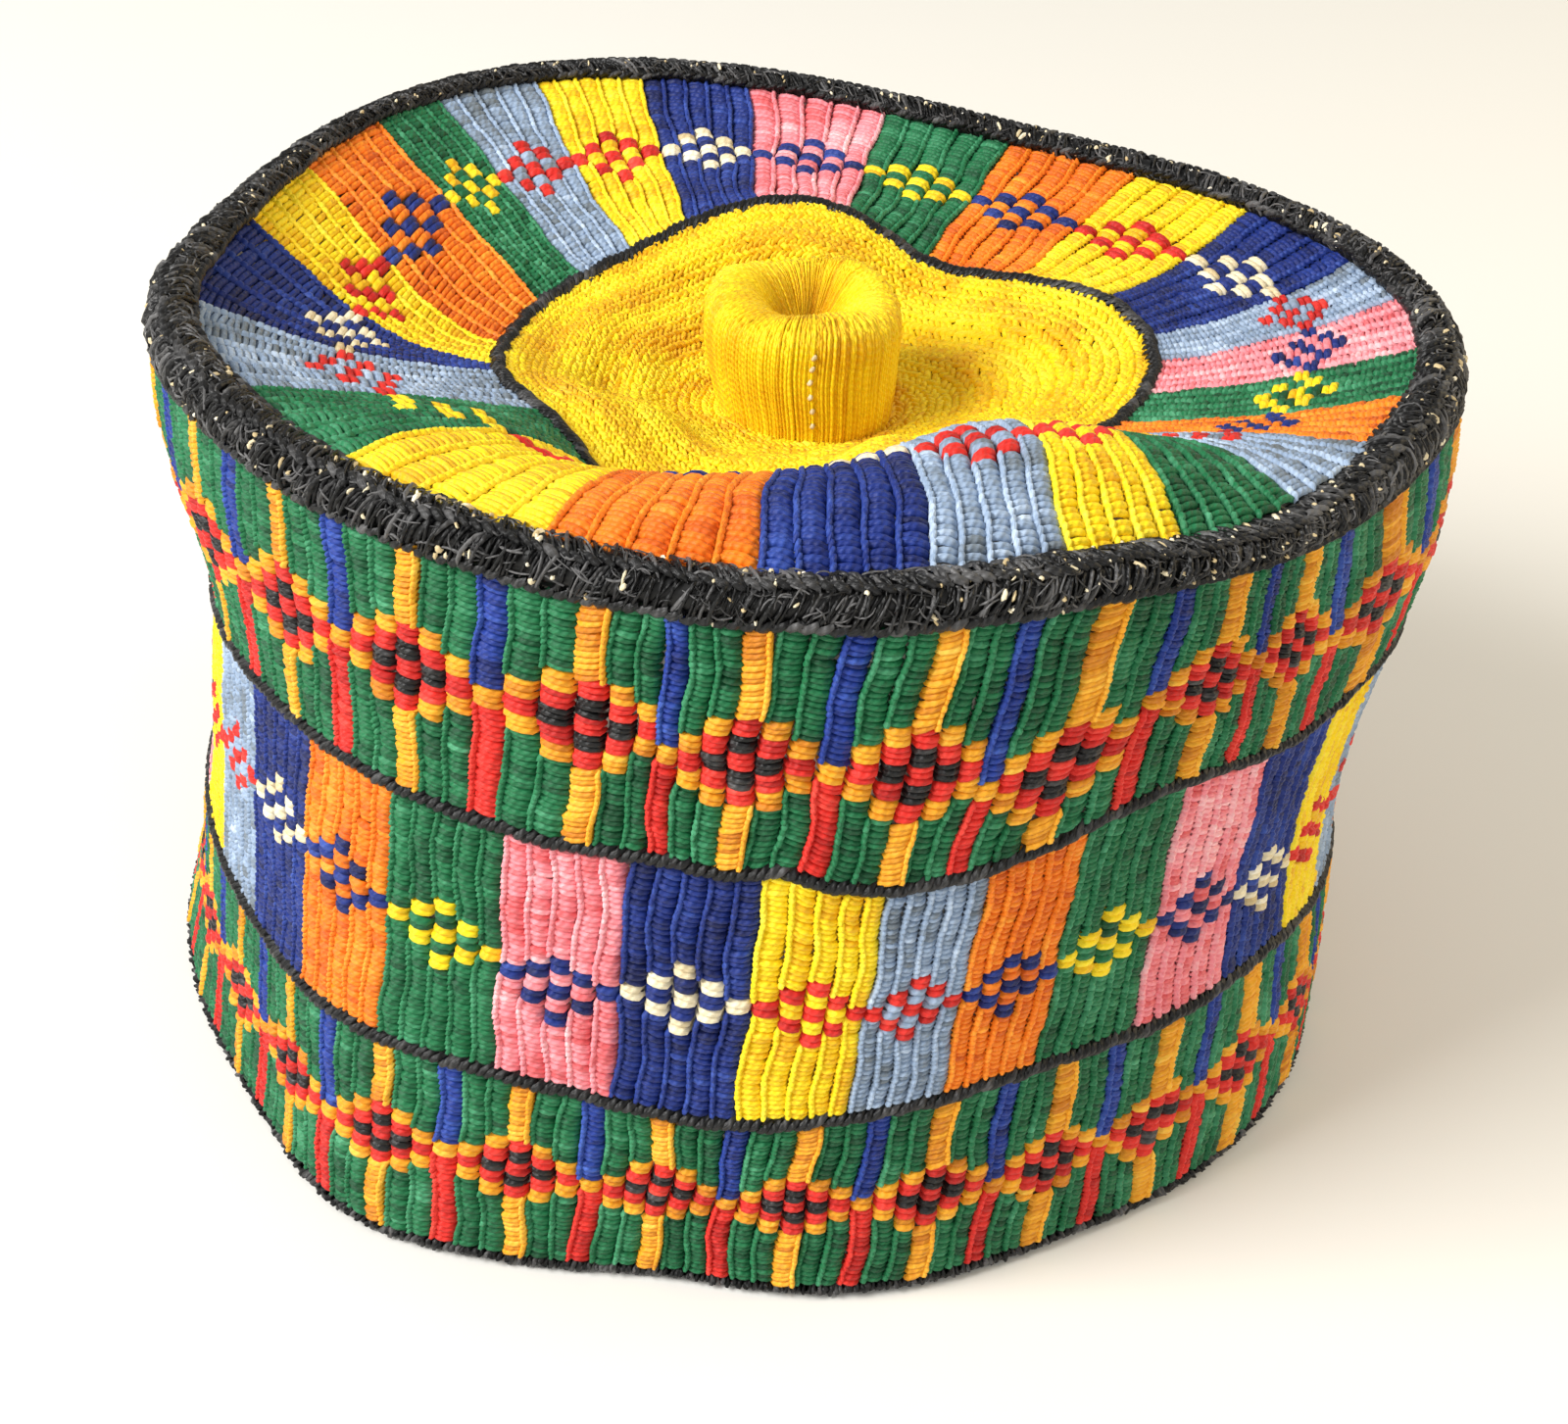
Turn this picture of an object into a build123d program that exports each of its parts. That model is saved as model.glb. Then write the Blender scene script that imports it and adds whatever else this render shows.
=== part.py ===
"""Embroidered pillbox cap: a layered cloth wall, a sunken crown and a wrapped knob.

The origin is on the ground at the middle of the head opening, +Z is up through the crown,
and the front of the cap faces -Y. Every size is in millimetres.
"""
import os

from build123d import *

# Cloth plies of the wall and crown, from the head outwards
head_radius = 90.7
lining_thickness = 0.5
interlining_thickness = 0.9
cloth_thickness = 0.6
stitch_thickness = 2.0
ply_gap = 0.1
lining_straight_height = 90.0
lining_lean = 2.0

# Heights of the wall's rows, from the ground up
edging_height = 2.4
lower_band_height = 31.0
divider_height = 1.8
middle_band_height = 38.8
upper_band_height = 36.2
rim_height = 7.6

# Black edges and cords
edging_overhang = 0.4
edging_inset = 0.2
divider_overhang = 0.5
rim_overhang = 1.4
rim_width = 8.0
rim_rounding = 3.0
seam_allowance_width = 3.4
seam_allowance_height = 3.6

# Embroidery charts: repeats round the cap, and the size of one chart cell
upper_repeats = 26
lower_repeats = 30
middle_blocks = 36
upper_cell = 2.8
lower_cell = 2.1
middle_cell = 2.4
upper_motif_above_band = 18.0
lower_motif_above_band = 15.6
middle_motif_above_band = 18.8
upper_first_angle = -0.6
lower_first_angle = -4.7
middle_first_angle = -9.0

# Crown: the ring of blocks, its divider and the disc inside it
crown_first_angle = -56.0
crown_edge_below_rim = 5.6
ring_middle_drop = 1.0
crown_divider_radius = 50.0
crown_divider_width = 3.0
crown_divider_drop = 8.0
disc_middle_drop = 14.0
crown_floor_drop = 17.5

# Knob
knob_radius = 15.5
knob_height = 18.0
knob_rounding = 6.5
knob_wrap_thickness = 2.8
knob_hollow_radius = 5.5
knob_hollow_depth = 4.0
knob_knot_radius = 1.1
knob_knot_count = 5
knob_seat_margin = 1.0

# Chart columns of one repeat: half the motif's height in cells, column by column
diamond_steps = [0.5, 1.5, 2.5, 2.5, 2.5, 1.5]
lattice_steps = [0.5, 1.5, 2.5, 1.5, 0.5]
bar_column = 0
centre_column = 3

# Colours of the blocks, in the order in which they follow each other to the right
middle_round = ["navy", "yellow", "grey", "orange", "green", "pink"]
middle_last_round = ["yellow", "grey", "navy", "orange", "green", "pink"]
middle_colours = middle_round * 5 + middle_last_round
lattice_colour_on = {
    "pink": "navy",
    "navy": "cream",
    "yellow": "red",
    "grey": "red",
    "orange": "navy",
    "green": "yellow",
}
crown_colours = [
    "green", "yellow", "orange", "navy", "grey", "yellow", "green", "grey", "orange",
    "green", "pink", "grey", "navy", "yellow", "orange", "green", "pink", "navy",
    "yellow", "grey", "green", "orange", "yellow", "navy", "grey",
]

# Width of each crown block in degrees, in the same order
crown_block_spans = [
    17.0, 21.0, 17.0, 14.0, 12.0, 12.0, 15.0, 15.0, 12.0, 11.0, 11.0, 9.0, 14.0,
    14.0, 16.0, 17.0, 16.0, 12.0, 12.0, 12.0, 10.0, 15.0, 15.0, 21.0, 20.0,
]

# Radii that follow from the plies
interlining_radius = head_radius + lining_thickness + ply_gap
cloth_radius = interlining_radius + interlining_thickness + ply_gap
stitch_radius = cloth_radius + cloth_thickness + ply_gap
outer_radius = stitch_radius + stitch_thickness

# Heights that follow from the rows
lower_band_base = edging_height
lower_divider_base = lower_band_base + lower_band_height
middle_band_base = lower_divider_base + divider_height
upper_divider_base = middle_band_base + middle_band_height
upper_band_base = upper_divider_base + divider_height
rim_base = upper_band_base + upper_band_height
rim_top = rim_base + rim_height

# Crown places that follow from the rim
rim_outer_radius = outer_radius + rim_overhang
rim_inner_radius = rim_outer_radius - rim_width
crown_edge_height = rim_top - crown_edge_below_rim + stitch_thickness
ring_inner_radius = crown_divider_radius + crown_divider_width / 2
disc_radius = crown_divider_radius - crown_divider_width / 2
knob_base_height = crown_edge_height - crown_floor_drop

saved = []


def save(name, pieces):
    """Write one node, which may hold several separate solids."""
    shape = pieces[0] if len(pieces) == 1 else Compound(pieces)
    export_step(shape, f"parts/{name}.step")
    saved.append(name)


def turned(outline, first=0.0, sweep=360.0):
    """Turn a closed outline in the XZ plane about the cap's axis, from an angle off the front."""
    solid = revolve(make_face(outline), Axis.Z, revolution_arc=sweep)
    return Rot(0, 0, first - 90) * solid


def box_outline(inner, outer, low, high):
    """Outline of a square-cornered section between two radii and two heights."""
    corners = [(inner, 0, low), (outer, 0, low), (outer, 0, high), (inner, 0, high)]
    return Polyline(*corners, close=True)


def sector(inner, outer, low, high, first=0.0, sweep=360.0):
    """A stretch of wall between two radii, two heights and two angles."""
    return turned(box_outline(inner, outer, low, high), first, sweep)


def rounded_ring(inner, outer, low, high, rounding):
    """A full ring of rounded section."""
    face = make_face(box_outline(inner, outer, low, high))
    face = fillet(face.vertices(), rounding)
    return revolve(face, Axis.Z)


def around(piece, count):
    """Copies of a piece, evenly spaced about the cap's axis."""
    return [Rot(0, 0, 360 / count * number) * piece for number in range(count)]


def column_run(columns, steps, repeats, first, low_of, high_of):
    """Neighbouring chart columns, joined into one stepped solid of stitches."""
    column_angle = 360 / repeats / len(steps)
    pieces = []
    for column in columns:
        start = first + column_angle * (column - centre_of(steps) - 0.5)
        low = low_of(steps[column])
        high = high_of(steps[column])
        pieces.append(sector(stitch_radius, outer_radius, low, high, start, column_angle))
    joined = pieces[0]
    for piece in pieces[1:]:
        joined = joined + piece
    return joined.solid()


def centre_of(steps):
    """Number of the chart's middle column."""
    return len(steps) // 2


def save_diamond_band(name, base, height, cell, motif_height, repeats, first):
    """One band of chequered diamonds with its bars and green ground."""
    top = base + height
    middle = base + motif_height
    all_columns = range(len(diamond_steps))
    left_columns = range(bar_column + 1, centre_column)
    right_columns = range(centre_column + 1, len(diamond_steps))

    def motif_low(step):
        return middle - step * cell

    def motif_high(step):
        return middle + step * cell

    def band_low(step):
        return base

    def band_high(step):
        return top

    def run(columns, low_of, high_of):
        return column_run(columns, diamond_steps, repeats, first, low_of, high_of)

    diamond = run(all_columns, motif_low, motif_high)
    greens = []
    for columns in (left_columns, right_columns):
        greens += around(run(columns, motif_high, band_high), repeats)
        greens += around(run(columns, band_low, motif_low), repeats)
    ambers = around(run([centre_column], motif_high, band_high), repeats)
    ambers += around(run([centre_column], band_low, motif_low), repeats)
    save(f"{name}_diamonds", around(diamond, repeats))
    save(f"{name}_green_ribs", greens)
    save(f"{name}_amber_bars", ambers)
    save(f"{name}_blue_bars", around(run([bar_column], motif_high, band_high), repeats))
    save(f"{name}_red_bars", around(run([bar_column], band_low, motif_low), repeats))


def save_middle_band():
    """The band of plain colour blocks with the small lattice through their middles."""
    top = middle_band_base + middle_band_height
    middle = middle_band_base + middle_motif_above_band
    block_angle = 360 / middle_blocks
    first = middle_first_angle + block_angle / 2
    columns = range(len(lattice_steps))

    def motif_low(step):
        return middle - step * middle_cell

    def motif_high(step):
        return middle + step * middle_cell

    def run(low_of, high_of):
        return column_run(columns, lattice_steps, middle_blocks, first, low_of, high_of)

    upper_half = run(motif_high, lambda step: top)
    lower_half = run(lambda step: middle_band_base, motif_low)
    lattice = run(motif_low, motif_high)
    blocks = {}
    lattices = {}
    for number in range(middle_blocks):
        colour = middle_colours[number]
        place = Rot(0, 0, block_angle * number)
        blocks.setdefault(colour, []).extend([place * upper_half, place * lower_half])
        lattices.setdefault(lattice_colour_on[colour], []).append(place * lattice)
    for colour, pieces in blocks.items():
        save(f"middle_{colour}_blocks", pieces)
    for colour, pieces in lattices.items():
        save(f"middle_{colour}_lattice", pieces)


def crown_curve(first_radius, last_radius, drop):
    """Outline points of the crown's upper surface between two radii, lowered by a drop."""
    top = crown_edge_height - drop
    ring_middle_radius = (rim_inner_radius + ring_inner_radius) / 2
    floor_edge_radius = knob_radius + knob_seat_margin
    points = [
        (rim_inner_radius, 0, top),
        (ring_middle_radius, 0, top - ring_middle_drop),
        (ring_inner_radius, 0, top - crown_divider_drop),
        (disc_radius, 0, top - crown_divider_drop),
        ((disc_radius + floor_edge_radius) / 2, 0, top - disc_middle_drop),
        (floor_edge_radius, 0, top - crown_floor_drop),
        (0, 0, top - crown_floor_drop),
    ]
    return [point for point in points if last_radius <= point[0] <= first_radius]


def crown_ply_outline(first_radius, last_radius, drop, thickness):
    """Closed section of one crown ply between two radii."""
    upper = crown_curve(first_radius, last_radius, drop)
    lower = crown_curve(first_radius, last_radius, drop + thickness)
    return Polyline(*upper, *reversed(lower), close=True)


def save_crown():
    """Crown plies, the ring of blocks, its divider cord and the centre disc."""
    cloth_drop = stitch_thickness + ply_gap
    lining_drop = cloth_drop + cloth_thickness + ply_gap
    cloth = crown_ply_outline(rim_inner_radius, 0, cloth_drop, cloth_thickness)
    lining = crown_ply_outline(rim_inner_radius, 0, lining_drop, lining_thickness)
    save("crown_ground_cloth", [turned(cloth)])
    save("crown_lining", [turned(lining)])
    ring = crown_ply_outline(rim_inner_radius, ring_inner_radius, 0, stitch_thickness)
    blocks = {}
    start = crown_first_angle
    for colour, span in zip(crown_colours, crown_block_spans):
        blocks.setdefault(colour, []).append(turned(ring, start, span))
        start += span
    for colour, pieces in blocks.items():
        save(f"crown_{colour}_blocks", pieces)
    disc = crown_ply_outline(disc_radius, 0, 0, stitch_thickness)
    save("crown_centre_disc", [turned(disc)])
    divider_top = crown_edge_height - crown_divider_drop
    divider = box_outline(
        disc_radius, ring_inner_radius, divider_top - stitch_thickness, divider_top + divider_overhang
    )
    save("crown_divider_cord", [turned(divider)])


def knob_section(radius, base, height, rounding):
    """Face of a solid of revolution with rounded outer corners, standing on a height."""
    face = make_face(box_outline(0, radius, base, base + height))
    outer_corners = face.vertices().sort_by(Axis.X)[-2:]
    return fillet(outer_corners, rounding)


def save_knob():
    """Firm core, the yarn wound over it with a hollow on top, and the knots down its front."""
    wrap = revolve(knob_section(knob_radius, knob_base_height, knob_height, knob_rounding), Axis.Z)
    core_radius = knob_radius - knob_wrap_thickness
    core_height = knob_height - knob_hollow_depth - knob_wrap_thickness
    core_rounding = knob_rounding - knob_wrap_thickness
    core = revolve(knob_section(core_radius, knob_base_height, core_height, core_rounding), Axis.Z)
    knob_top = knob_base_height + knob_height
    hollow_place = Pos(0, 0, knob_top - knob_hollow_depth)
    hollow = hollow_place * Cone(
        knob_hollow_radius / 2,
        knob_hollow_radius,
        knob_hollow_depth,
        align=(Align.CENTER, Align.CENTER, Align.MIN),
    )
    save("knob_core", [core])
    save("knob_wrap", [(wrap - core - hollow).solid()])
    knot_run = knob_height - 2 * knob_rounding
    spacing = knot_run / (knob_knot_count - 1)
    knots = []
    for number in range(knob_knot_count):
        height = knob_base_height + knob_rounding + spacing * number
        knots.append(Pos(0, -knob_radius - knob_knot_radius, height) * Sphere(knob_knot_radius))
    save("knob_front_knots", knots)


def save_wall():
    """Plies that run the whole height of the wall, from the edging to the rim."""
    top = rim_base
    lining_top_radius = head_radius - lining_lean
    lining = Polyline(
        (head_radius, 0, edging_height),
        (head_radius + lining_thickness, 0, edging_height),
        (head_radius + lining_thickness, 0, lining_straight_height),
        (lining_top_radius + lining_thickness, 0, top),
        (lining_top_radius, 0, top),
        (head_radius, 0, lining_straight_height),
        close=True,
    )
    save("wall_lining", [turned(lining)])
    interlining_outer = interlining_radius + interlining_thickness
    save("wall_interlining", [sector(interlining_radius, interlining_outer, edging_height, top)])
    cloth_outer = cloth_radius + cloth_thickness
    save("wall_ground_cloth", [sector(cloth_radius, cloth_outer, edging_height, top)])


def save_edges():
    """Bottom edging, the two divider cords and the rim's binding over its seam allowance."""
    edging_inner = head_radius - edging_inset
    edging_outer = outer_radius + edging_overhang
    save("bottom_edging", [sector(edging_inner, edging_outer, 0, edging_height)])
    cord_outer = outer_radius + divider_overhang
    for name, base in (("lower", lower_divider_base), ("upper", upper_divider_base)):
        cord = sector(stitch_radius, cord_outer, base, base + divider_height)
        save(f"{name}_divider_cord", [cord])
    binding = rounded_ring(rim_inner_radius, rim_outer_radius, rim_base, rim_top, rim_rounding)
    core_middle_radius = (rim_inner_radius + rim_outer_radius) / 2
    core_middle_height = (rim_base + rim_top) / 2
    core = sector(
        core_middle_radius - seam_allowance_width / 2,
        core_middle_radius + seam_allowance_width / 2,
        core_middle_height - seam_allowance_height / 2,
        core_middle_height + seam_allowance_height / 2,
    )
    save("rim_seam_allowance", [core])
    save("rim_binding", [(binding - core).solid()])


os.makedirs("parts", exist_ok=True)
save_wall()
save_edges()
save_diamond_band(
    "lower", lower_band_base, lower_band_height, lower_cell,
    lower_motif_above_band, lower_repeats, lower_first_angle,
)
save_middle_band()
save_diamond_band(
    "upper", upper_band_base, upper_band_height, upper_cell,
    upper_motif_above_band, upper_repeats, upper_first_angle,
)
save_crown()
save_knob()
print(len(saved), "nodes")
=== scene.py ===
"""Looks of the embroidered pillbox cap.

Threads are laid one by one over the settled cloth of the wall and crown, with black cords and
binding along the edges and a wound knob in the middle.
Sizes are in millimetres until a mesh is made. Angles are in degrees round the cap's axis,
0 at the front (-Y) and growing to the right (+X).
"""

import math

import bpy
import numpy as np
from mathutils import Matrix


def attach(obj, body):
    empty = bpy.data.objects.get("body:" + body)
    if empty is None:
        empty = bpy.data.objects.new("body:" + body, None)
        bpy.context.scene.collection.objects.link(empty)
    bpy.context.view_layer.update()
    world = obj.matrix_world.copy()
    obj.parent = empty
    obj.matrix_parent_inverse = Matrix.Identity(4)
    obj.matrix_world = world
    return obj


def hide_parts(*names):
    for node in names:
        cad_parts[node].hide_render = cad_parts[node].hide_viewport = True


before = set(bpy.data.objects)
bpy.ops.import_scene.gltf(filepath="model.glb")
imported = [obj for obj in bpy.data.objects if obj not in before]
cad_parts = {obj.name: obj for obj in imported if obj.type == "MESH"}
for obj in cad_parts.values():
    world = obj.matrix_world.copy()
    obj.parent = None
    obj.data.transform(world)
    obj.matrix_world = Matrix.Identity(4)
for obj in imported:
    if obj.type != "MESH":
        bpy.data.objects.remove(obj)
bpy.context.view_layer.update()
bpy.ops.object.select_all(action="DESELECT")

MM = 0.001
BODY = "root"
WELD_DISTANCE = 0.00002
rng = np.random.default_rng(26)

# Plies of the wall: radius at the outside of the ground cloth, how far the stitches stand off it,
# and the radius at the top of the stitches
CLOTH_RADIUS = 93.0
WALL_RADIUS = 95.0
STITCH = 2.0
CLOTH_THICKNESS = 0.6
INTERLINING_THICKNESS = 0.9
LINING_THICKNESS = 0.5
PLY_GAP = 0.1

# Heights of the rows, before the cloth settles
LOWER_BAND = (2.4, 33.4)
LOWER_DIVIDER = 34.3
MIDDLE_BAND = (35.2, 74.0)
UPPER_DIVIDER = 75.0
UPPER_BAND = (75.8, 112.6)
RIM_LOW = 112.0
RIM_MIDDLE = 118.0

# Crown and knob. v runs inwards: RING_LENGTH down the ring, then DISC_LENGTH over the disc
CROWN_INSET = 4.6
RING_LENGTH = 38.0
RING_BEND = 0.45
DISC_LENGTH = 48.0
DISC_FLOOR = 96.2
DISC_FLAT = 0.28
KNOB_RADIUS = 15.2


# ---- settled shape of the cloth

def turn(angle):
    """Angle brought between -180 and 180."""
    return (np.asarray(angle, float) + 180.0) % 360.0 - 180.0


def bump(angle, centre, width):
    """Soft hill round an angle, 1 at its centre."""
    return np.exp(-((turn(angle - centre) / width) ** 2))


def hill(value, centre, width):
    """Soft hill along a height, 1 at its centre."""
    return np.exp(-(((value - centre) / width) ** 2))


def waves(angle, rows):
    """Waves that run round the cap: how many, how high, and the angle of one crest."""
    return sum(size * np.cos(np.radians(count * (angle - peak))) for count, size, peak in rows)


def hills(angle, rows):
    """Soft hills round the cap: height (or depth, if negative), angle and width."""
    return sum(size * bump(angle, centre, width) for size, centre, width in rows)


def varying(usual, *rows):
    """A measure that changes round the cap: its usual value, and the hills that stand on it."""
    def at(t):
        return usual + hills(t, rows)
    return at


def smooth(share):
    """Soft step from 0 to 1."""
    share = np.clip(share, 0.0, 1.0)
    return share * share * (3.0 - 2.0 * share)


# Waves of the rim: how many go round, their size in millimetres and the angle of one crest
RIM_WAVES = [(1, 1.1, 43), (2, 1.4, 52), (3, 4.4, -25), (4, 2.6, 21)]
RIM_BULGE = [(3.0, -72, 18)]

# Dents and swellings of the wall's sides: size, height of the middle and how tall
LEFT_DENT = [(-7.5, 77, 17), (-7.0, 48, 21), (-3.5, 18, 16)]
RIGHT_SWELL = [(4.0, 96, 25), (-2.8, 48, 22)]
SIDE_WIDTH = 30

# Each row of a varying measure is the size, the angle of its middle and the width in degrees.
# How far inside the wall's stitches the crown starts: less where the binding is pressed thin
crown_inset = varying(CROWN_INSET, (-1.9, -128, 42), (-1.0, 140, 40))

# Outside radius of the wall where it stands
base_radius = varying(WALL_RADIUS, (6.0, -31, 13), (-2.5, -3, 9), (-1.5, 34, 12), (3.5, 75, 25))

# How far each line of the wall has moved up or down
upper_sag = varying(0.5, (2.0, -38, 18), (0.7, -8, 3.5), (1.5, 3.5, 2.5), (-1.6, 12, 9), (6.0, 38, 14),
                    (4.5, 66, 14))
lower_sag = varying(0.3, (1.4, -28, 12), (-3.4, -1, 10), (3.2, 30, 15), (3.5, 56, 12))
rim_sag = varying(0.6, (-0.8, -40, 12), (1.8, 24, 16), (-1.2, 60, 10), (-1.6, 46, 13))

# The crown's divider, which has been pulled out of round
divider_radius = varying(48.0, (-4.2, -95, 30), (-2.5, -140, 18), (-5.0, -47, 19), (11.0, 105, 25))
divider_height = varying(106.0, (6.0, 180, 25), (-5.0, -112, 32), (-3.0, 152, 12), (8.0, 25, 14),
                         (-2.0, 80, 14), (2.5, 117, 14), (-7.0, -20, 26))

# Height of the ring a little outside its middle, and where it meets the binding
ring_middle_height = varying(111.5, (-5.0, -92, 22), (-1.5, -140, 20), (3.0, -42, 12), (2.2, -20, 18),
                             (12.5, 18, 36), (3.6, 35, 18), (-1.2, 110, 25), (-2.0, 78, 12))
ring_edge_height = varying(116.9, (1.4, 0, 45))

# Folds of the disc, and the rise at its front
disc_folds = varying(0.0, (1.0, 62, 16), (1.0, -50, 20), (-1.0, -85, 14), (1.0, -118, 20), (-1.0, 140, 25))
disc_front = varying(0.0, (2.6, -12, 38))


def rim_radius(t):
    """Outside radius of the stitched wall at its rim, which has sagged out of round."""
    return WALL_RADIUS + waves(t, RIM_WAVES) + hills(t, RIM_BULGE)


def wall_bulge(t, z):
    """Dents and swellings of the wall's sides."""
    left, right = (sum(size * hill(z, middle, tall) for size, middle, tall in rows)
                   for rows in (LEFT_DENT, RIGHT_SWELL))
    return left * bump(t, -82, SIDE_WIDTH) + right * bump(t, 75, SIDE_WIDTH)


def sag(t, z):
    """Rise of a point of the wall, shared between the lines above and below it."""
    lines = [0, LOWER_DIVIDER, UPPER_DIVIDER, RIM_MIDDLE]
    lower = np.interp(z, lines, [0, 1, 0, 0])
    upper = np.interp(z, lines, [0, 0, 1, 0])
    rim = np.interp(z, lines, [0, 0, 0, 1])
    return lower * lower_sag(t) + upper * upper_sag(t) + rim * rim_sag(t)


def wall_radius(t, z):
    """Radius at the top of the stitches."""
    share = smooth(z / RIM_MIDDLE)
    return base_radius(t) * (1 - share) + rim_radius(t) * share + wall_bulge(t, z)


def around(t, radius, z):
    """Points from angles, radii and heights."""
    a = np.radians(t)
    return np.stack([radius * np.sin(a), -radius * np.cos(a), z], -1)


def settle_wall(t, z, h):
    """Point of the wall: h is how far it stands off the ground cloth."""
    return around(t, wall_radius(t, z) + h - STITCH, z + sag(t, z))


def ring_radius(t, share):
    """Radius of the crown's ring, from its outside to the divider."""
    outer = rim_radius(t) - crown_inset(t)
    return outer + (divider_radius(t) - outer) * share


def ring_surface(t, v):
    """Top of the crown's ring of blocks: v runs inwards from the rim to the divider."""
    s = np.clip(v / RING_LENGTH, -0.2, 1.1)
    start, middle, end = ring_edge_height(t), ring_middle_height(t), divider_height(t)
    bend = ((middle - start) / RING_BEND - (end - start)) / (RING_BEND - 1.0)
    height = start + (end - start - bend) * s + bend * s * s
    return around(t, ring_radius(t, s), height)


def disc_surface(t, v):
    """Top of the centre disc: v runs inwards from the divider to the middle."""
    q = np.clip(1.0 - v / DISC_LENGTH, 0.0, 1.05)
    radius = divider_radius(t) * q
    slope = (q - DISC_FLAT) / (1.0 - DISC_FLAT)
    rise = smooth(slope) * 0.75 + np.clip(slope, 0, 1) * 0.25
    height = DISC_FLOOR + (divider_height(t) - DISC_FLOOR) * rise
    rings = np.sin(q * 26.0 + 1.3 * np.sin(np.radians(3 * t)))
    ripple = 0.5 * rings * smooth((q - 0.3) * 4) * smooth((1 - q) * 8)
    folds = 2.3 * hill(q, 0.68, 0.16) * disc_folds(t)
    front = hill(q, 0.56, 0.15) * disc_front(t)
    return around(t, radius, height + ripple + folds + front)


def raised(surface, t, v, h):
    """Point that stands h off a crown surface."""
    step = 0.3
    across = surface(t + step, v) - surface(t - step, v)
    along = surface(t, v + step) - surface(t, v - step)
    normal = np.cross(across, along)
    normal /= np.maximum(np.linalg.norm(normal, axis=-1, keepdims=True), 1e-9)
    return surface(t, v) + normal * (h - STITCH)[..., None]


def settle_ring(t, v, h):
    """Point that stands h off the cloth of the ring."""
    return raised(ring_surface, t, v, h)


def settle_disc(t, v, h):
    """Point that stands h off the cloth of the disc."""
    return raised(disc_surface, t, v, h)


# ---- meshes

def modelled_grid(columns, rows):
    """Plain grid of faces modelled from a primitive: corner places and faces, in row order."""
    bpy.ops.mesh.primitive_grid_add(x_subdivisions=columns, y_subdivisions=rows, size=2)
    grid = bpy.context.object
    places = np.array([v.co[:2] for v in grid.data.vertices])
    order = np.lexsort((np.round(places[:, 0], 4), np.round(places[:, 1], 4)))
    rank = np.empty(len(order), int)
    rank[order] = np.arange(len(order))
    faces = rank[np.array([p.vertices[:] for p in grid.data.polygons])]
    bpy.data.objects.remove(grid)
    return places[order], faces


def thread_strip(sections):
    """Template of one thread: across its width, its rise, and its faces."""
    places, faces = modelled_grid(3, sections - 1)
    across = places[:, 0].reshape(sections, 4)
    rise = np.where(np.abs(across) > 0.9, 0.0, 1.0)
    across = np.where(rise > 0, across * 1.5, across)
    return across, rise, faces


def make_mesh(name, points, faces, maps, values):
    """Mesh from points in millimetres, with UV maps and values per point."""
    mesh = bpy.data.meshes.new(name)
    mesh.vertices.add(len(points))
    mesh.vertices.foreach_set("co", (points * MM).astype(np.float32).ravel())
    mesh.loops.add(faces.size)
    mesh.loops.foreach_set("vertex_index", faces.astype(np.int32).ravel())
    mesh.polygons.add(len(faces))
    mesh.polygons.foreach_set("loop_start", np.arange(0, faces.size, faces.shape[1], dtype=np.int32))
    mesh.update(calc_edges=True)
    mesh.validate()
    for map_name, places in maps.items():
        layer = mesh.uv_layers.new(name=map_name)
        corners = np.empty(len(mesh.loops), np.int32)
        mesh.loops.foreach_get("vertex_index", corners)
        layer.data.foreach_set("uv", places[corners].astype(np.float32).ravel())
    for value_name, numbers in values.items():
        attribute = mesh.attributes.new(value_name, "FLOAT", "POINT")
        attribute.data.foreach_set("value", numbers.astype(np.float32))
    mesh.shade_smooth()
    return mesh


def add_object(name, data):
    """New object in the scene."""
    made = bpy.data.objects.new(name, data)
    bpy.context.scene.collection.objects.link(made)
    return made


def finish_piece(name, mesh, material, nodes=()):
    """Object from a mesh, which rides with the cap and stands for CAD nodes."""
    mesh.materials.append(material)
    piece = add_object(name, mesh)
    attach(piece, BODY)
    if nodes:
        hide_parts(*nodes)
    return piece


STRIPS = {sections: thread_strip(sections) for sections in (4, 6, 8, 14)}


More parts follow.
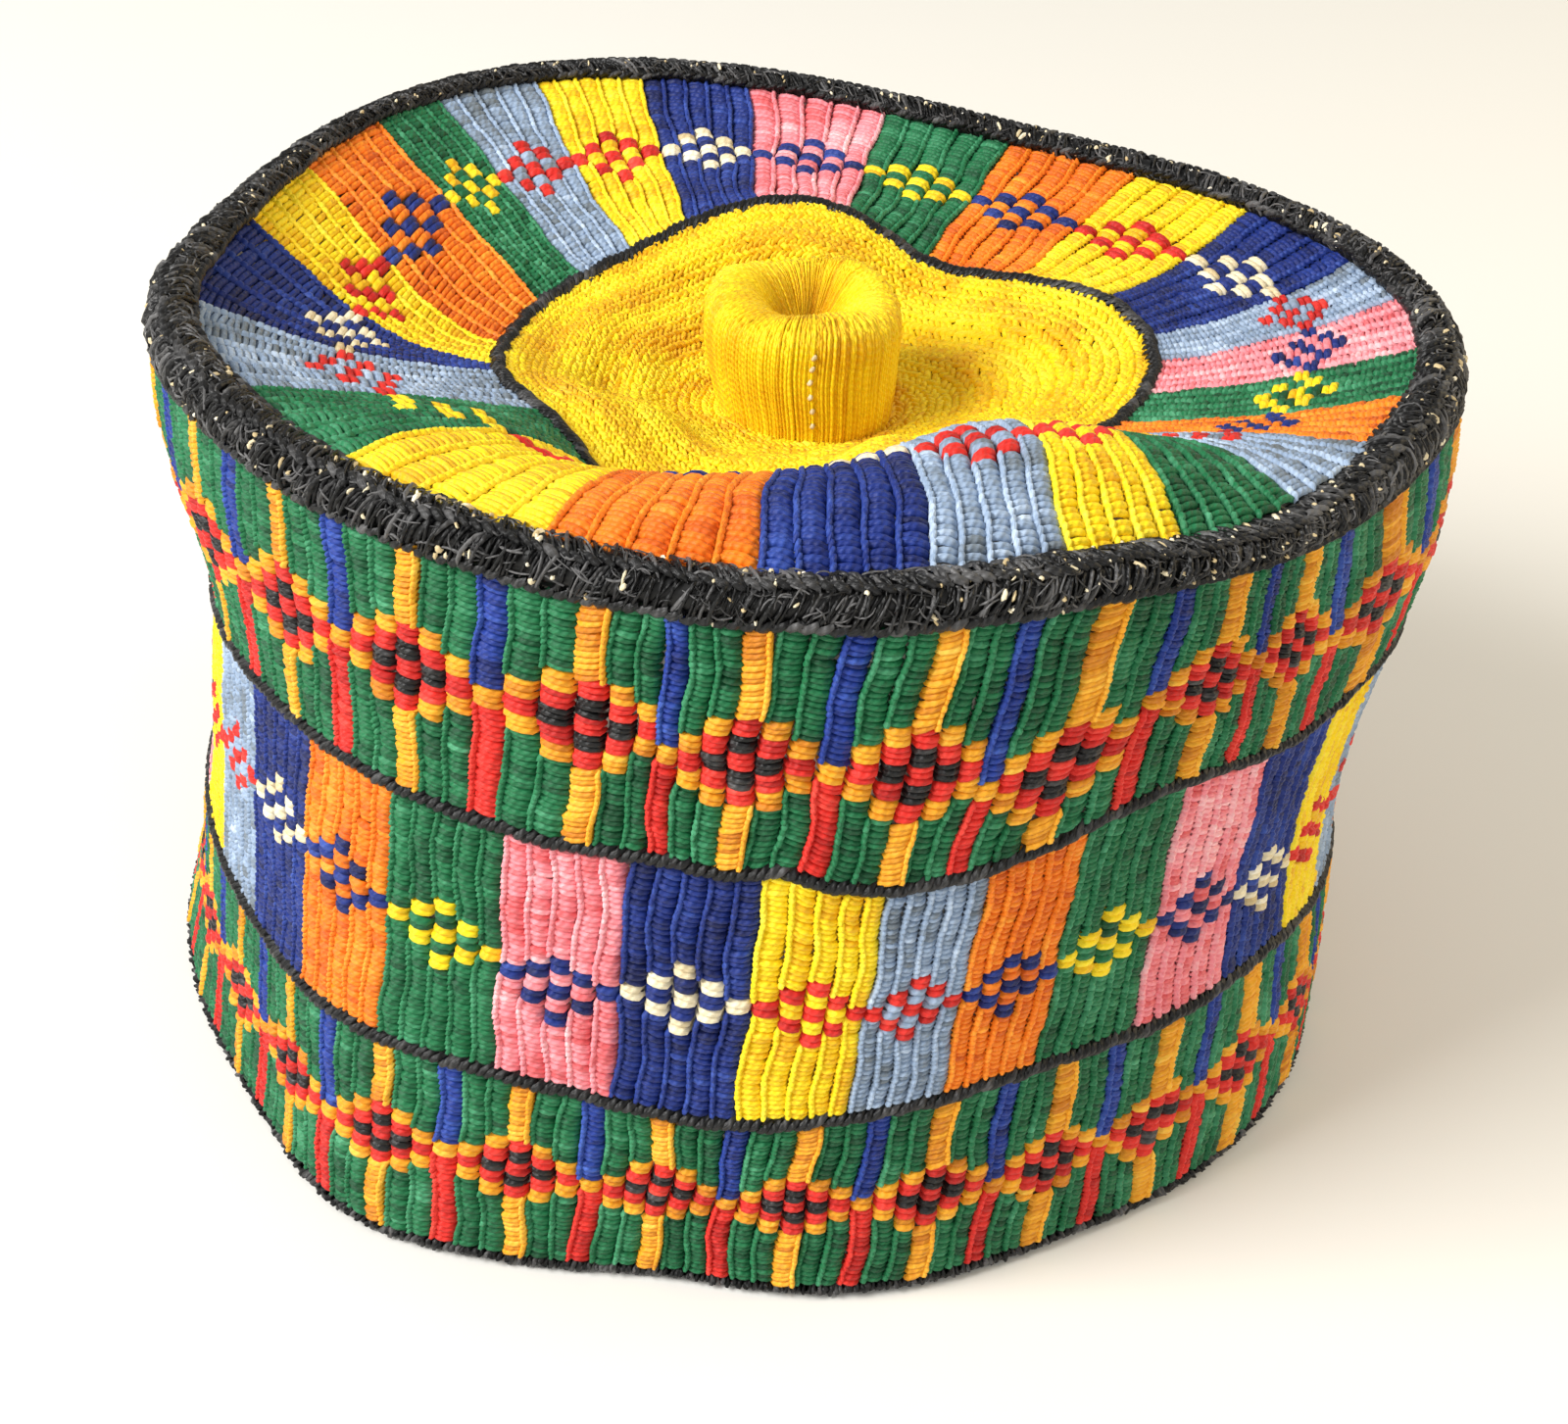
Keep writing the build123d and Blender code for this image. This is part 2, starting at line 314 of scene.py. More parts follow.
def thread_mesh(name, threads, settle, depth):
    """One mesh of many threads. depth is how far v runs, for the flat panel's map."""
    paths = threads["path"]
    count, sections = paths.shape[:2]
    across, rise, faces = STRIPS[sections]
    t, v, h = paths[..., 0], paths[..., 1], paths[..., 2]
    scale = threads["scale"][:, None]
    run = np.gradient(t, axis=1) * scale
    climb = np.gradient(v, axis=1)
    length = np.maximum(np.hypot(run, climb), 1e-6)
    side_t, side_v = climb / length / scale, -run / length
    half = threads["half"][..., None] * across
    points_t = t[..., None] + half * side_t[..., None]
    points_v = v[..., None] + half * side_v[..., None]
    points_h = h[..., None] + rise * threads["thick"][..., None]
    points = settle(points_t.ravel(), points_v.ravel(), points_h.ravel())
    per_thread = sections * 4
    all_faces = (faces[None] + np.arange(count)[:, None, None] * per_thread).reshape(-1, 4)
    travelled = np.concatenate([np.zeros((count, 1)), np.cumsum(length[:, 1:], 1)], 1)
    travelled = travelled + threads["start"][:, None]
    thread_map = np.stack([half, np.broadcast_to(travelled[..., None], half.shape)], -1).reshape(-1, 2)
    middle = turn(t[:, :1])[..., None]
    panel_u = (middle + points_t - t[:, :1, None] + 180.0) / 360.0
    panel = np.stack([panel_u, points_v / depth], -1).reshape(-1, 2)
    tone = np.repeat(threads["tone"], per_thread)
    maps = {"thread": thread_map, "OFBake": np.clip(panel, 0.0, 1.0)}
    return make_mesh(name, points, all_faces, maps, {"tone": tone})


def spaced_round(count):
    """Angles spaced evenly round the cap, from the back."""
    return -180.0 + 360.0 / count * np.arange(count)


def join_threads(groups):
    """Several groups of threads of the same number of sections, as one."""
    return {key: np.concatenate([group[key] for group in groups]) for key in groups[0]}


def threads(t, v, h, half, thick, scale, tone):
    """A group of threads along rows of angles, places and heights. Their widths taper at both ends."""
    path = np.stack(np.broadcast_arrays(t, v, h), -1)
    count, sections = path.shape[:2]
    ends = np.ones(sections)
    ends[0] = ends[-1] = 0.72
    half = np.broadcast_to(np.asarray(half, float), (count,))[:, None] * ends
    thick = np.broadcast_to(np.asarray(thick, float), (count,))[:, None] * np.ones(sections)
    return {
        "path": path,
        "half": half,
        "thick": thick,
        "scale": np.broadcast_to(np.asarray(scale, float), (count,)).copy(),
        "tone": np.broadcast_to(np.asarray(tone, float), (count,)).copy(),
        "start": rng.uniform(0, 400, count),
    }


# ---- wool

WOOLS = {
    # name: (yarn, deep shade, pale highlight)
    "green": ((0.008, 0.150, 0.052), (0.002, 0.060, 0.020), (0.070, 0.330, 0.165)),
    "amber": ((0.820, 0.360, 0.012), (0.560, 0.180, 0.004), (0.930, 0.560, 0.070)),
    "red": ((0.700, 0.022, 0.014), (0.420, 0.008, 0.006), (0.850, 0.070, 0.045)),
    "blue": ((0.010, 0.036, 0.260), (0.004, 0.012, 0.110), (0.050, 0.120, 0.480)),
    "navy": ((0.007, 0.024, 0.185), (0.003, 0.008, 0.070), (0.040, 0.090, 0.400)),
    "yellow": ((0.930, 0.680, 0.006), (0.780, 0.420, 0.002), (0.980, 0.830, 0.050)),
    "orange": ((0.870, 0.210, 0.005), (0.620, 0.105, 0.002), (0.940, 0.370, 0.030)),
    "pink": ((0.860, 0.270, 0.310), (0.690, 0.110, 0.120), (0.960, 0.640, 0.650)),
    "grey": ((0.270, 0.360, 0.500), (0.150, 0.180, 0.210), (0.540, 0.650, 0.800)),
    "cream": ((0.830, 0.740, 0.520), (0.580, 0.450, 0.240), (0.950, 0.900, 0.780)),
    "black": ((0.0045, 0.0045, 0.0052), (0.0012, 0.0012, 0.0014), (0.105, 0.103, 0.104)),
}


def add_node(tree, kind, **settings):
    """New node with its settings."""
    node = tree.nodes.new(kind)
    for key, value in settings.items():
        setattr(node, key, value)
    return node


def set_inputs(node, **values):
    """Fixed values of a node's inputs, by name with _ for a space."""
    for key, value in values.items():
        node.inputs[key.replace("_", " ")].default_value = value


def plain_material(name):
    """New material, its tree and its surface."""
    material = bpy.data.materials.new(name)
    material.use_nodes = True
    return material, material.node_tree, material.node_tree.nodes["Principled BSDF"]


def add_bump(tree, shader, height, strength, distance):
    """Small lumps of a surface: distance is how high they stand, in millimetres."""
    lumps = add_node(tree, "ShaderNodeBump")
    set_inputs(lumps, Strength=strength, Distance=distance * MM)
    tree.links.new(height, lumps.inputs["Height"])
    tree.links.new(lumps.outputs["Normal"], shader.inputs["Normal"])


def math_node(tree, operation, first, second):
    """Sum or product of two values."""
    node = add_node(tree, "ShaderNodeMath", operation=operation)
    for number, value in enumerate((first, second)):
        if isinstance(value, (int, float)):
            node.inputs[number].default_value = value
        else:
            tree.links.new(value, node.inputs[number])
    return node.outputs[0]


def remap(tree, value, low, high, out_low=0.0, out_high=1.0):
    """A value's range stretched over another."""
    node = add_node(tree, "ShaderNodeMapRange")
    tree.links.new(value, node.inputs["Value"])
    set_inputs(node, From_Min=low, From_Max=high, To_Min=out_low, To_Max=out_high)
    return node.outputs[0]


def mix_colour(tree, share, first, second):
    """Mix of two colours by a share."""
    node = add_node(tree, "ShaderNodeMix", data_type="RGBA", blend_type="MIX")
    for value, socket in ((share, node.inputs[0]), (first, node.inputs[6]), (second, node.inputs[7])):
        if isinstance(value, (int, float)):
            socket.default_value = value
        elif isinstance(value, tuple):
            socket.default_value = (*value, 1.0)
        else:
            tree.links.new(value, socket)
    return node.outputs[2]


def noise(tree, vector, scale, detail):
    """Uneven patches."""
    node = add_node(tree, "ShaderNodeTexNoise")
    tree.links.new(vector, node.inputs["Vector"])
    set_inputs(node, Scale=scale, Detail=detail)
    return node.outputs["Fac"]


def stretched(tree, vector, scale, turned=0.0):
    """A map stretched and turned."""
    node = add_node(tree, "ShaderNodeMapping")
    tree.links.new(vector, node.inputs["Vector"])
    set_inputs(node, Scale=scale, Rotation=(0.0, 0.0, turned))
    return node.outputs["Vector"]


def wool_group():
    """Shared look of a laid yarn: patches of dye, fibres along the thread and its twist."""
    tree = bpy.data.node_groups.new("wool_yarn", "ShaderNodeTree")
    for socket in ("Yarn", "Deep", "Pale"):
        tree.interface.new_socket(socket, in_out="INPUT", socket_type="NodeSocketColor")
    tree.interface.new_socket("Colour", in_out="OUTPUT", socket_type="NodeSocketColor")
    tree.interface.new_socket("Bump Height", in_out="OUTPUT", socket_type="NodeSocketFloat")
    given = add_node(tree, "NodeGroupInput").outputs
    out = add_node(tree, "NodeGroupOutput").inputs
    place = add_node(tree, "ShaderNodeTexCoord").outputs["Object"]
    along = add_node(tree, "ShaderNodeUVMap", uv_map="thread").outputs["UV"]
    tone = add_node(tree, "ShaderNodeAttribute", attribute_name="tone").outputs["Fac"]
    patches = remap(tree, noise(tree, place, 95.0, 3.0), 0.35, 0.68)
    fibres = noise(tree, stretched(tree, along, (7.0, 0.8, 1.0)), 1.0, 3.0)
    ply = add_node(tree, "ShaderNodeTexWave", wave_type="BANDS", bands_direction="Y")
    tree.links.new(stretched(tree, along, (1.0, 1.0, 1.0), 0.6), ply.inputs["Vector"])
    set_inputs(ply, Scale=0.34, Distortion=1.2, Detail_Scale=1.6)
    shade = tone
    for value, share in ((patches, 0.55), (fibres, 0.55), (ply.outputs["Fac"], 0.14)):
        shade = math_node(tree, "ADD", shade, math_node(tree, "MULTIPLY", value, share))
    deep_share = remap(tree, shade, 0.85, 0.30)
    pale_share = remap(tree, shade, 0.95, 1.65)
    colour = mix_colour(tree, deep_share, given["Yarn"], given["Deep"])
    colour = mix_colour(tree, pale_share, colour, given["Pale"])
    height = math_node(tree, "ADD", math_node(tree, "MULTIPLY", fibres, 0.7),
                       math_node(tree, "MULTIPLY", ply.outputs["Fac"], 0.45))
    tree.links.new(colour, out["Colour"])
    tree.links.new(height, out["Bump Height"])
    return tree


WOOL_GROUP = wool_group()
WOOL_ROUGHNESS = 0.55
BLACK_ROUGHNESS = 0.42


def wool(name):
    """Material of one colour of yarn."""
    yarn, deep, pale = WOOLS[name]
    material, tree, shader = plain_material(f"{name}_wool_yarn")
    group = add_node(tree, "ShaderNodeGroup", node_tree=WOOL_GROUP)
    for socket, colour in (("Yarn", yarn), ("Deep", deep), ("Pale", pale)):
        group.inputs[socket].default_value = (*colour, 1.0)
    tree.links.new(group.outputs["Colour"], shader.inputs["Base Color"])
    add_bump(tree, shader, group.outputs["Bump Height"], strength=0.8, distance=0.30)
    set_inputs(shader, Roughness=WOOL_ROUGHNESS, Sheen_Weight=0.04, Sheen_Roughness=0.4,
               Specular_IOR_Level=0.32)
    return material


def cloth_material(name, colour, weave):
    """Plain woven cotton: weave is how fine its threads are."""
    material, tree, shader = plain_material(name)
    panel = add_node(tree, "ShaderNodeUVMap", uv_map="cloth").outputs["UV"]
    warp = add_node(tree, "ShaderNodeTexWave", wave_type="BANDS", bands_direction="X")
    weft = add_node(tree, "ShaderNodeTexWave", wave_type="BANDS", bands_direction="Y")
    for threads_node in (warp, weft):
        tree.links.new(panel, threads_node.inputs["Vector"])
        set_inputs(threads_node, Scale=weave, Distortion=0.8)
    height = math_node(tree, "MULTIPLY", warp.outputs["Fac"], weft.outputs["Fac"])
    place = add_node(tree, "ShaderNodeTexCoord").outputs["Object"]
    worn = remap(tree, noise(tree, place, 40.0, 4.0), 0.3, 0.75)
    darker = tuple(c * 0.72 for c in colour)
    shade = mix_colour(tree, worn, darker, colour)
    # painted shade: the low places of the weave are darkened up to a quarter of the way towards the darker
    # colour
    shade = mix_colour(tree, remap(tree, height, 0.0, 1.0, 0.25, 0.0), shade, darker)
    tree.links.new(shade, shader.inputs["Base Color"])
    add_bump(tree, shader, height, strength=0.6, distance=0.12)
    set_inputs(shader, Roughness=0.85)
    return material


YARNS = {name: wool(name) for name in WOOLS}
set_inputs(YARNS["black"].node_tree.nodes["Principled BSDF"], Roughness=BLACK_ROUGHNESS)


# ---- charts and ribs

STITCH_PITCH = 0.86
CELL_PITCH = 0.95


def sideways(t, v):
    """Wobble of the ribs, in millimetres."""
    slow = 0.26 * np.sin(v / 2.6 + t * 0.31) + 0.24 * np.sin(v / 4.3 - t * 0.17 + 2.0)
    return slow + 0.08 * np.sin(v / 1.3 + t * 2.1)


def tone_patches(t, v):
    """Slow change of the dye along the ribs."""
    return 0.10 * np.sin(v / 3.1 + t * 1.7) + 0.08 * np.sin(v / 7.3 - t * 0.9 + 1.0)


# Each kind of stitch: places across the rib, how high it stands there, and its fall to the right
STITCH_SHAPES = {
    "rib": ([-0.48, -0.32, -0.08, 0.18, 0.42, 0.61], [-0.1, 0.70, 1.10, 1.02, 0.50, -0.6], 0.22),
    "right_rib": ([-0.55, -0.38, -0.12, 0.12, 0.28, 0.40], [-0.6, 0.85, 1.35, 1.40, 1.10, 0.2], -0.70),
    "cell": ([-0.53, -0.40, -0.14, 0.14, 0.40, 0.53], [-0.6, 0.85, 1.32, 1.32, 0.85, -0.6], 0.06),
}


class Ribs:
    """Stitches of one band, gathered by what they belong to."""

    def __init__(self, mm_per_degree):
        self.mm_per_degree = mm_per_degree
        self.stitches = {}

    def add_run(self, key, place, width, low, high, pitch, style):
        """One run of stitches up a rib: place and width are functions of the height, in degrees."""
        if high - low < 0.25:
            return
        count = max(1, round((high - low) / pitch))
        step = (high - low) / count
        v = low + step * (np.arange(count) + 0.5)
        rows = np.stack([place(v), v, np.broadcast_to(width(v), v.shape), np.full(count, step)], 1)
        self.stitches.setdefault((key, style), []).append(rows)

    def groups(self, key, style):
        rows = self.stitches.get((key, style))
        return None if rows is None else np.concatenate(rows)

    def bars(self, rows, style):
        """The crosswise bar of each stitch."""
        t, v, width, step = rows.T
        scale = self.mm_per_degree(t, v)
        across, foot, fall = STITCH_SHAPES[style]
        across, foot = np.array(across), np.array(foot)
        count = len(rows)
        slant = fall + rng.normal(0, 0.13, count)
        reach = 1.0 + rng.normal(0, 0.035, count)
        shift = (sideways(t, v) + rng.normal(0, 0.05, count)) / scale
        path_t = t[:, None] + shift[:, None] + across * (width * reach)[:, None]
        arch = 0.10 * (1 - (2 * across) ** 2)
        path_v = v[:, None] - slant[:, None] * across * 2.0 + arch + rng.normal(0, 0.07, (count, 1))
        path_h = foot + rng.normal(0, 0.10, (count, 1))
        tone = rng.normal(0.14, 0.19, count) + tone_patches(t, v)
        half = step * rng.uniform(0.50, 0.62, count)
        return threads(path_t, path_v, path_h, half, 0.80, scale, tone)

    def purls(self, rows, style):
        """The small link that locks each stitch at the rib's side, read together as a cord."""
        t, v, width, step = rows.T
        scale = self.mm_per_degree(t, v)
        side = -1.0 if style == "rib" else 1.0
        count = len(rows)
        inward = np.array([0.05, 0.20, 0.40, 0.58]) if side < 0 else np.array([1.15, 1.00, 0.85, 0.70])
        edge = side * width / 2.0
        shift = (sideways(t, v) + rng.normal(0, 0.04, count)) / scale
        path_t = (t + edge + shift)[:, None] - side * inward / scale[:, None]
        path_v = v[:, None] + step[:, None] * np.array([-0.85, -0.30, 0.30, 0.85])
        lift = 0.0 if side < 0 else 0.45
        path_h = np.array([0.50, 1.26, 1.32, 0.55]) + lift + rng.normal(0, 0.06, (count, 1))
        # painted highlight: the purl links get a higher tone than the bars of the same yarn, so the raised
        # cord is painted paler, as where light catches it
        tone = rng.normal(0.42, 0.12, count) + tone_patches(t, v)
        return threads(path_t, path_v, path_h, rng.uniform(0.36, 0.45, count), 0.70, scale, tone)

    def lay(self, name, key, colour, settle, depth, nodes):
        """All stitches of one key as one piece."""
        meshes = []
        for style in STITCH_SHAPES:
            rows = self.groups(key, style)
            if rows is None:
                continue
            meshes.append(thread_mesh(name, self.bars(rows, style), settle, depth))
            if style != "cell":
                meshes.append(thread_mesh(name + "_purl", self.purls(rows, style), settle, depth))
        return join_meshes(name, meshes, colour, nodes)


def weld(piece):
    """Merge the points that meet at a seam or a pole, so the surface is closed there."""
    bpy.ops.object.select_all(action="DESELECT")
    piece.select_set(True)
    bpy.context.view_layer.objects.active = piece
    bpy.ops.object.mode_set(mode="EDIT")
    bpy.ops.mesh.select_all(action="SELECT")
    bpy.ops.mesh.remove_doubles(threshold=WELD_DISTANCE)
    bpy.ops.object.mode_set(mode="OBJECT")


def welded(mesh):
    """The same mesh, with its seams and poles merged."""
    piece = add_object(mesh.name, mesh)
    weld(piece)
    bpy.data.objects.remove(piece)
    return mesh


def join_meshes(name, meshes, colour, nodes):
    """Several thread meshes of one colour joined into one piece."""
    pieces = [add_object(name, mesh) for mesh in meshes]
    bpy.ops.object.select_all(action="DESELECT")
    for piece in pieces:
        piece.select_set(True)
    bpy.context.view_layer.objects.active = pieces[0]
    if len(pieces) > 1:
        bpy.ops.object.join()
    joined = pieces[0]
    joined.name = name
    joined.data.name = name
    joined.data.materials.append(YARNS[colour])
    joined.select_set(False)
    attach(joined, BODY)
    if nodes:
        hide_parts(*nodes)
    return joined


def wall_scale(t, v=0.0):
    """Millimetres in a degree, round the wall."""
    return np.full(np.shape(t), CLOTH_RADIUS * math.pi / 180.0)


# Half height of the diamond in each chart column, in cells, and what its cells are
DIAMOND_CHART = [
    ["amber"],
    ["amber", "red", "amber"],
    ["amber", "red", "black", "red", "amber"],
    ["red", "black", "red", "black", "red"],
    ["amber", "red", "black", "red", "amber"],
    ["amber", "red", "amber"],
]
CENTRE_COLUMN = 3
BAR_COLUMN = 0
CENTRE_BAR_SWELL = 1.22

# Sideways drift, lean from bottom to top, and height of the diamonds, in each chart
upper_drift = varying(0.0, (2.0, -13, 7), (-1.3, 24, 8), (-6.0, 62, 16))
upper_lean = varying(0.6, (3.4, 26, 17), (-2.4, -40, 16))
upper_motif_height = varying(93.5, (1.5, -20, 10), (-2.5, 6, 9), (-6.0, 26, 8), (2.0, 52, 8))
lower_drift = varying(0.0)
lower_lean = varying(0.0, (0.9, 20, 40))
lower_motif_height = varying(17.4, (0.8, -10, 20), (-1.2, 35, 15))


def steady(value):
    """The same value all along a rib."""
    def at(v):
        return value
    return at


def leaning(centre, tilt, middle, height):
    """Place of a rib that leans as it climbs."""
    def at(v):
        return centre + tilt * (v - middle) / height
    return at


def diamond_band(band, repeats, first, cell, drift, lean, motif_height):
    """Stitches of a band of chequered diamonds with coloured bars between them."""
    low, high = band
    ribs = Ribs(wall_scale)
    columns = len(DIAMOND_CHART)
    column_angle = 360.0 / repeats / columns
    middle = (low + high) / 2.0
    for repeat in range(repeats):
        centre = first + 360.0 / repeats * repeat
        height = float(motif_height(turn(centre)))
        for column, cells in enumerate(DIAMOND_CHART):
            ideal = centre + column_angle * (column - CENTRE_COLUMN)
            middle_height = height + rng.normal(0, 0.35)
            bar_swell = CENTRE_BAR_SWELL if column == CENTRE_COLUMN else 1.0
            tilt = float(lean(turn(ideal)))
            edges = [ideal - column_angle / 2, ideal + column_angle / 2]
            left, right = (edge + float(drift(turn(edge))) for edge in edges)
            place = leaning((left + right) / 2, tilt, middle, high - low)
            width = steady(right - left)
            bar_width = steady((right - left) * bar_swell)
            half = cell * len(cells) / 2.0
            for number, colour in enumerate(cells):
                cell_low = middle_height - half + cell * number
                ribs.add_run(f"motif_{colour}", place, width, cell_low, cell_low + cell, CELL_PITCH, "cell")
            above = {BAR_COLUMN: "blue", CENTRE_COLUMN: "amber"}.get(column, "green")
            below = {BAR_COLUMN: "red", CENTRE_COLUMN: "amber"}.get(column, "green")
            style = "right_rib" if column == CENTRE_COLUMN else "rib"
            ribs.add_run(above, place, bar_width, middle_height + half, high, STITCH_PITCH, style)
            ribs.add_run(below, place, bar_width, low, middle_height - half, STITCH_PITCH, style)
    return ribs


def lay_diamond_band(name, ribs):
    """Pieces of a diamond band, one for each colour of each part."""
    for colour, part in (("green", "ribs"), ("amber", "bars"), ("blue", "bars"), ("red", "bars")):
        node = f"{name}_{colour}_{part}"
        ribs.lay(f"{node}_threads", colour, colour, settle_wall, RIM_MIDDLE, [node])
    for colour in ("red", "black", "amber"):
        ribs.lay(f"{name}_diamond_{colour}_threads", f"motif_{colour}", colour, settle_wall, RIM_MIDDLE,
                 [f"{name}_diamonds"])


# Rows of the small lattice in each of a block's five ribs, in cells off its middle
LATTICE_CHART = [[0], [-1, 1], [-2, 0, 2], [-1, 1], [0]]
LATTICE_REACH = [0, 1, 2, 1, 0]
LATTICE_COLOUR = {
    "pink": "navy",
    "navy": "cream",
    "yellow": "red",
    "grey": "red",
    "orange": "navy",
    "green": "yellow",
}
ACCENTS = ["navy", "cream", "red", "yellow"]
MIDDLE_ROUND = ["navy", "yellow", "grey", "orange", "green", "pink"]
MIDDLE_LAST_ROUND = ["yellow", "grey", "navy", "orange", "green", "pink"]
MIDDLE_COLOURS = MIDDLE_ROUND * 5 + MIDDLE_LAST_ROUND
MIDDLE_FIRST_ANGLE = -9.0
MIDDLE_CELL = 2.25

MIDDLE_LATTICE_HEIGHT = 54.0
MIDDLE_HEIGHT = 38.0

# Sideways drift of the blocks, and height of the middle of their lattice
middle_drift = varying(0.0, (1.2, 6, 7), (-2.5, 32, 16))
lattice_height = varying(MIDDLE_LATTICE_HEIGHT, (4.0, -45, 18), (-3.0, -14, 5), (-2.0, 28, 16),
                         (-6.5, 60, 14))


def add_block_rib(ribs, colour, column, place, width, low, high, lattice_middle, cell):
    """One rib of a block: plain stitches with the lattice's cells let in."""
    accent = LATTICE_COLOUR[colour]
    reach = LATTICE_REACH[column]
    start = lattice_middle - cell * (reach + 0.5)
    end = lattice_middle + cell * (reach + 0.5)
    ribs.add_run(colour, place, width, low, start, STITCH_PITCH, "rib")
    for row in range(-reach, reach + 1):
        key = f"lattice_{accent}" if row in LATTICE_CHART[column] else colour
        bottom = lattice_middle + cell * (row - 0.5)
        ribs.add_run(key, place, width, bottom, bottom + cell, CELL_PITCH, "cell")
    ribs.add_run(colour, place, width, end, high, STITCH_PITCH, "rib")


def middle_band():
    """Stitches of the band of plain blocks."""
    ribs = Ribs(wall_scale)
    low, high = MIDDLE_BAND
    columns = len(LATTICE_CHART)
    block_angle = 360.0 / len(MIDDLE_COLOURS)
    for number, colour in enumerate(MIDDLE_COLOURS):
        for column in range(columns):
            shares = (column / columns, (column + 1) / columns)
            edges = [MIDDLE_FIRST_ANGLE + block_angle * (number + share) for share in shares]
            left, right = (edge + float(middle_drift(turn(edge))) for edge in edges)
            centre = (left + right) / 2
            tilt = 1.3 * float(bump(centre, 22, 22))
            place = leaning(centre, tilt, MIDDLE_LATTICE_HEIGHT, MIDDLE_HEIGHT)
            width = steady(right - left)
            lattice_middle = float(lattice_height(turn(centre))) + rng.normal(0, 0.25)
            add_block_rib(ribs, colour, column, place, width, low, high, lattice_middle, MIDDLE_CELL)
    return ribs


CROWN_COLOURS = [
    "green", "yellow", "orange", "navy", "grey", "yellow", "green", "grey", "orange",
    "green", "pink", "grey", "navy", "yellow", "orange", "green", "pink", "navy",
    "yellow", "grey", "green", "orange", "yellow", "navy", "grey",
]
CROWN_BLOCK_SPANS = [
    17, 21, 17, 14, 12, 12, 15, 15, 12, 11, 11, 9, 14,
    14, 16, 17, 16, 12, 12, 12, 10, 15, 15, 21, 20,
]
CROWN_FIRST_ANGLE = -56.0
CROWN_CELL = 2.2


def ring_scale(t, v):
    """Millimetres in a degree, round the crown's ring."""
    return ring_radius(t, v / RING_LENGTH) * math.pi / 180.0


SWING_CURVE = 1.5

# How far the blocks swing round between the rim and the divider, in degrees
inner_turn = varying(0.0, (24.0, -104, 20), (6.0, -145, 25), (4.0, -35, 25), (15.0, 38, 22),
                     (-5.5, 120, 20))

# How far in from the rim the lattice runs
ring_lattice = varying(0.5 * RING_LENGTH, (9.0, -25, 17), (-2.0, -130, 30), (9.0, 3, 10), (6.0, 46, 10),
                       (-5.0, 105, 26), (-1.5, 175, 20))


def swung(outer, inner):
    """Value along a rib that goes from one at the rim to another at the divider."""
    def at(v):
        return outer + (inner - outer) * np.clip(v / RING_LENGTH, 0, 1) ** SWING_CURVE
    return at


def crown_ring():
    """Stitches of the crown's ring of blocks."""
    ribs = Ribs(ring_scale)
    columns = len(LATTICE_CHART)
    start = CROWN_FIRST_ANGLE
    for colour, span in zip(CROWN_COLOURS, CROWN_BLOCK_SPANS):
        for column in range(columns):
            edges = [start + span * share / columns for share in (column, column + 1)]
            inner_edges = [edge + float(inner_turn(turn(edge))) for edge in edges]
            outer_centre = sum(edges) / 2
            place = swung(outer_centre, sum(inner_edges) / 2)
            width = swung(edges[1] - edges[0], inner_edges[1] - inner_edges[0])
            lattice_middle = float(ring_lattice(outer_centre)) + rng.normal(0, 0.3)
            add_block_rib(ribs, colour, column, place, width, -0.6, RING_LENGTH, lattice_middle, CROWN_CELL)
        start += span
    return ribs


def lay_blocks(ribs, place, settle, depth, lattice_nodes):
    """Pieces of a row of blocks: one for each colour and for each lattice colour."""
    for colour in MIDDLE_ROUND:
        ribs.lay(f"{place}_{colour}_block_threads", colour, colour, settle, depth,
                 [f"{place}_{colour}_blocks"])
    for accent in ACCENTS:
        nodes = [f"{place}_{accent}_lattice"] if lattice_nodes else []
        ribs.lay(f"{place}_{accent}_lattice_threads", f"lattice_{accent}", accent, settle, depth, nodes)


# ---- cloth plies

def cloth_piece(name, settle, span, rows, columns, outer, thickness, material, nodes):
    """A ply of cloth: a grid rolled into its place, closed at its seam and given its thickness."""
    places, faces = modelled_grid(columns, rows)
    t = places[:, 0] * 180.0
    panel = (places + 1) / 2
    v = span[0] + (span[1] - span[0]) * panel[:, 1]
    points = settle(t, v, np.full(len(t), outer))
    mesh = make_mesh(name, points, faces, {"cloth": panel, "OFBake": panel}, {})
    piece = finish_piece(name, mesh, material, nodes)
    weld(piece)
    ply = piece.modifiers.new("thickness", "SOLIDIFY")
    ply.thickness = thickness * MM
    ply.offset = -1.0
    bpy.ops.object.modifier_apply(modifier=ply.name)
    piece.select_set(False)
    return piece


def settle_lining(t, z, h):
    """The lining leans in towards the crown near the top."""
    lean = np.interp(z, [90.0, RIM_LOW], [0.0, 2.0])
    return settle_wall(t, z, h - lean)


WALL_PLY = (1.7, 113.0)


